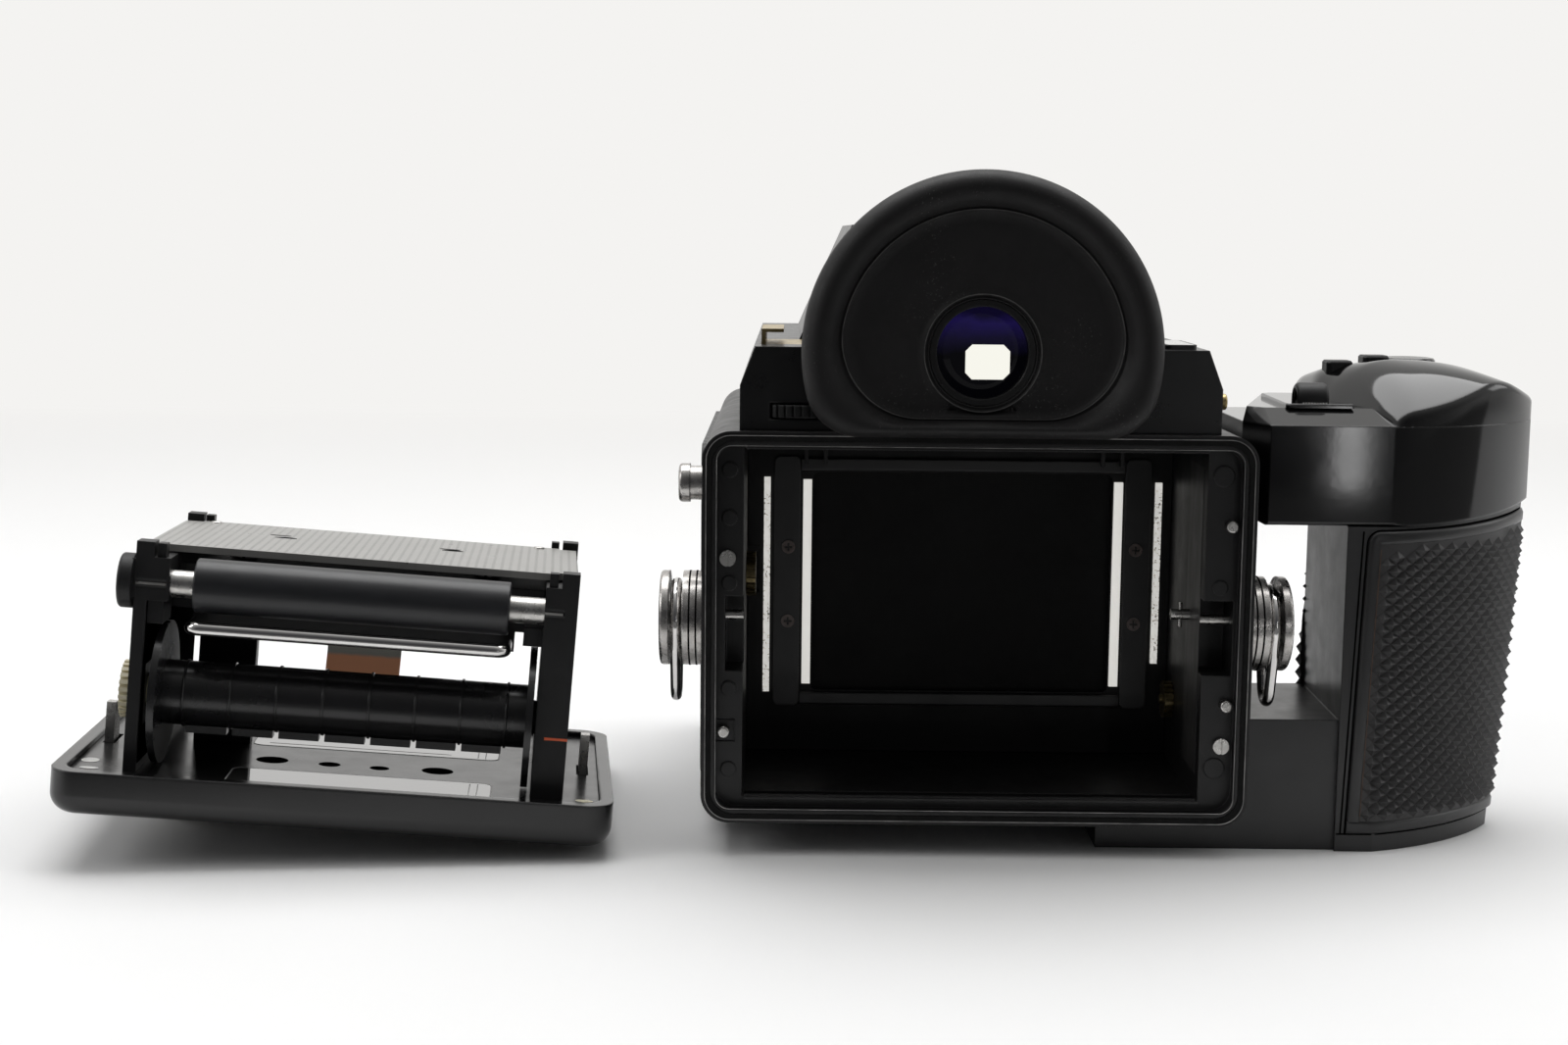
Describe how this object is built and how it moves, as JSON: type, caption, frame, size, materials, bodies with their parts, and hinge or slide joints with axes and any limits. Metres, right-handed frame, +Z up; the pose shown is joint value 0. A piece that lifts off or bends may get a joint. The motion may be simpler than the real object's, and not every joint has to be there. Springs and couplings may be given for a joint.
{
  "type": "medium format film camera",
  "caption": "Medium format reflex camera with its back off: film gate, side grip, hand gap, prism finder with round eyecup, strap lugs, and a roll-film insert on its back cover.",
  "frame": {"origin": "centre of the tripod socket's mouth on the table plane", "axes": "+Y along the lens axis towards the subject, +Z up, +X to the right as seen from behind, towards the grip"},
  "size_m": [0.265, 0.1222, 0.1182],
  "materials": {
    "black_body": "satin black paint",
    "black_plastic": "fine matt black",
    "gloss_black": "polished black",
    "rubber": "matt rubber",
    "grip_rubber": "diamond-textured rubber",
    "leatherette": "bumpy black leatherette",
    "foam": "foam strip",
    "rail_metal": "worn pale rails",
    "steel": "brushed",
    "chrome": "polished",
    "brass": "machined",
    "copper_spring": "copper coloured",
    "curtain_cloth": "rubberised black cloth",
    "mirror_glass": "front-silvered",
    "clear_glass": "polished",
    "coated_glass": "violet coating",
    "display_glass": "grey display window",
    "plate_dark": "dark satin plate",
    "insert_metal": "black painted sheet",
    "insert_plastic": "moulded black",
    "spool_plastic": "moulded black spool",
    "burnished_screw": "burnished",
    "gear_cream": "cream gear"
  },
  "bodies": {
    "camera_body": {"body_casting": "black_body", "light_seal": "foam", "film_gate": "black_body", "film_rails": "rail_metal", "film_guides": "black_body", "gate_screws": "burnished_screw", "shutter_curtain": "curtain_cloth", "mirror_box": "black_plastic", "focusing_screen": "clear_glass", "pentaprism": "clear_glass", "finder_housing": "black_plastic", "eyepiece_frame": "black_plastic", "eyepiece_lens": "coated_glass", "eyecup": "rubber", "hot_shoe": "steel", "lcd_window": "display_glass", "front_plate": "black_body", "lens_mount": "chrome", "mount_screws": "steel", "grip_body": "black_plastic", "grip_pad": "grip_rubber", "grip_head": "black_plastic", "grip_top": "black_plastic", "base_plate": "black_body", "tripod_socket": "steel", "strap_lugs": "steel", "sync_terminal": "steel", "side_cloth": "leatherette", "chamber_screws": "steel", "chamber_pins": "steel"},
    "mirror": {"mirror_holder": "black_body", "reflex_mirror": "mirror_glass"},
    "dial": {"drive_dial": "gloss_black"},
    "side_button": {"side_button": "gloss_black"},
    "lens_release": {"lens_release": "chrome"},
    "shutter_button": {"shutter_button": "gloss_black"},
    "up_button": {"up_button": "black_plastic"},
    "down_button": {"down_button": "black_plastic"},
    "main_switch": {"main_switch": "gloss_black"},
    "left_strap_ring": {"strap_ring_left": "chrome"},
    "right_strap_ring": {"strap_ring_right": "chrome"},
    "advance_gear": {"advance_gear": "brass"},
    "counter_gear": {"counter_gear": "brass"},
    "drive_coupling": {"drive_coupling": "steel"},
    "film_back": {"back_shell": "insert_metal", "back_plate": "plate_dark", "insert_frame": "insert_plastic", "insert_side": "insert_metal", "guide_wire": "chrome", "leaf_spring": "copper_spring"},
    "pressure_plate": {"pressure_plate": "insert_metal"},
    "near_film_roller": {"near_roller": "rubber", "near_shaft": "steel"},
    "far_film_roller": {"far_roller": "insert_plastic"},
    "take_up": {"take_up_spool": "spool_plastic", "spool_gear": "gear_cream"},
    "latch_key": {"latch_key": "steel"},
    "catch_prongs": {"catch_prongs": "steel"}
  },
  "joints": [
    {"name": "mirror_swing", "type": "hinge", "parent": "camera_body", "child": "mirror", "pos_m": [0, -0.0124, 0.0712], "axis": [1, 0, 0], "range_deg": [0, 45], "stiffness_Nm_per_rad": 0.02, "springref_deg": -17.19},
    {"name": "dial_turn", "type": "hinge", "parent": "camera_body", "child": "dial", "pos_m": [-0.0306, -0.0503, 0.0763], "axis": [0, 0, 1], "continuous": true},
    {"name": "side_button_press", "type": "slide", "parent": "camera_body", "child": "side_button", "axis": [-1, 0, 0], "range_m": [0, 0.001], "stiffness_N_per_m": 400, "springref_m": -0.001},
    {"name": "lens_release_press", "type": "slide", "parent": "camera_body", "child": "lens_release", "axis": [0, -1, 0], "range_m": [0, 0.002], "stiffness_N_per_m": 400, "springref_m": -0.001},
    {"name": "shutter_button_press", "type": "slide", "parent": "camera_body", "child": "shutter_button", "axis": [0, 0, -1], "range_m": [0, 0.001], "stiffness_N_per_m": 400, "springref_m": -0.001},
    {"name": "up_button_press", "type": "slide", "parent": "camera_body", "child": "up_button", "axis": [0, 0, -1], "range_m": [0, 0.0008], "stiffness_N_per_m": 400, "springref_m": -0.001},
    {"name": "down_button_press", "type": "slide", "parent": "camera_body", "child": "down_button", "axis": [0, 0, -1], "range_m": [0, 0.0008], "stiffness_N_per_m": 400, "springref_m": -0.001},
    {"name": "main_switch_slide", "type": "slide", "parent": "camera_body", "child": "main_switch", "axis": [-1, 0, 0], "range_m": [0, 0.002]},
    {"name": "left_ring_swing", "type": "hinge", "parent": "camera_body", "child": "left_strap_ring", "pos_m": [-0.0521, -0.05, 0.0402], "axis": [1, 0, 0], "range_deg": [-110, 110]},
    {"name": "right_ring_swing", "type": "hinge", "parent": "camera_body", "child": "right_strap_ring", "pos_m": [0.0521, -0.05, 0.0402], "axis": [1, 0, 0], "range_deg": [-110, 110]},
    {"name": "advance_gear_turn", "type": "hinge", "parent": "camera_body", "child": "advance_gear", "pos_m": [-0.0403, -0.0279, 0.0447], "axis": [1, 0, 0], "continuous": true},
    {"name": "counter_gear_turn", "type": "hinge", "parent": "camera_body", "child": "counter_gear", "pos_m": [0.0393, -0.0285, 0.0218], "axis": [1, 0, 0], "continuous": true},
    {"name": "coupling_turn", "type": "hinge", "parent": "camera_body", "child": "drive_coupling", "pos_m": [0.0393, -0.044, 0.0406], "axis": [1, 0, 0], "continuous": true},
    {"name": "film_back_lift", "type": "slide", "parent": "camera_body", "child": "film_back", "axis": [0, 0, 1], "range_m": [0, 0.08]},
    {"name": "pressure_plate_push", "type": "slide", "parent": "film_back", "child": "pressure_plate", "axis": [-0.0807, -0.0449, -0.9957], "range_m": [0, 0.0008], "stiffness_N_per_m": 300, "springref_m": -0.002},
    {"name": "near_roller_turn", "type": "hinge", "parent": "film_back", "child": "near_film_roller", "pos_m": [-0.10742, -0.05884, 0.04472], "axis": [0.9911, 0.102, -0.0849], "continuous": true},
    {"name": "far_roller_turn", "type": "hinge", "parent": "film_back", "child": "far_film_roller", "pos_m": [-0.11269, -0.00915, 0.04291], "axis": [0.9911, 0.102, -0.0849], "continuous": true},
    {"name": "take_up_turn", "type": "hinge", "parent": "film_back", "child": "take_up", "pos_m": [-0.10961, -0.05406, 0.02489], "axis": [0.9911, 0.102, -0.0849], "continuous": true},
    {"name": "latch_key_turn", "type": "hinge", "parent": "film_back", "child": "latch_key", "pos_m": [-0.13968, -0.03508, 0.01463], "axis": [0.0807, 0.0449, 0.9957], "range_deg": [0, 90]},
    {"name": "catch_prongs_slide", "type": "slide", "parent": "film_back", "child": "catch_prongs", "axis": [-0.1054, 0.9938, -0.0362], "range_m": [0, 0.003]}
  ],
  "couplings": [
    {"joint": "catch_prongs_slide", "follows": "latch_key_turn", "m_per_rad": 0.0019098}
  ]
}
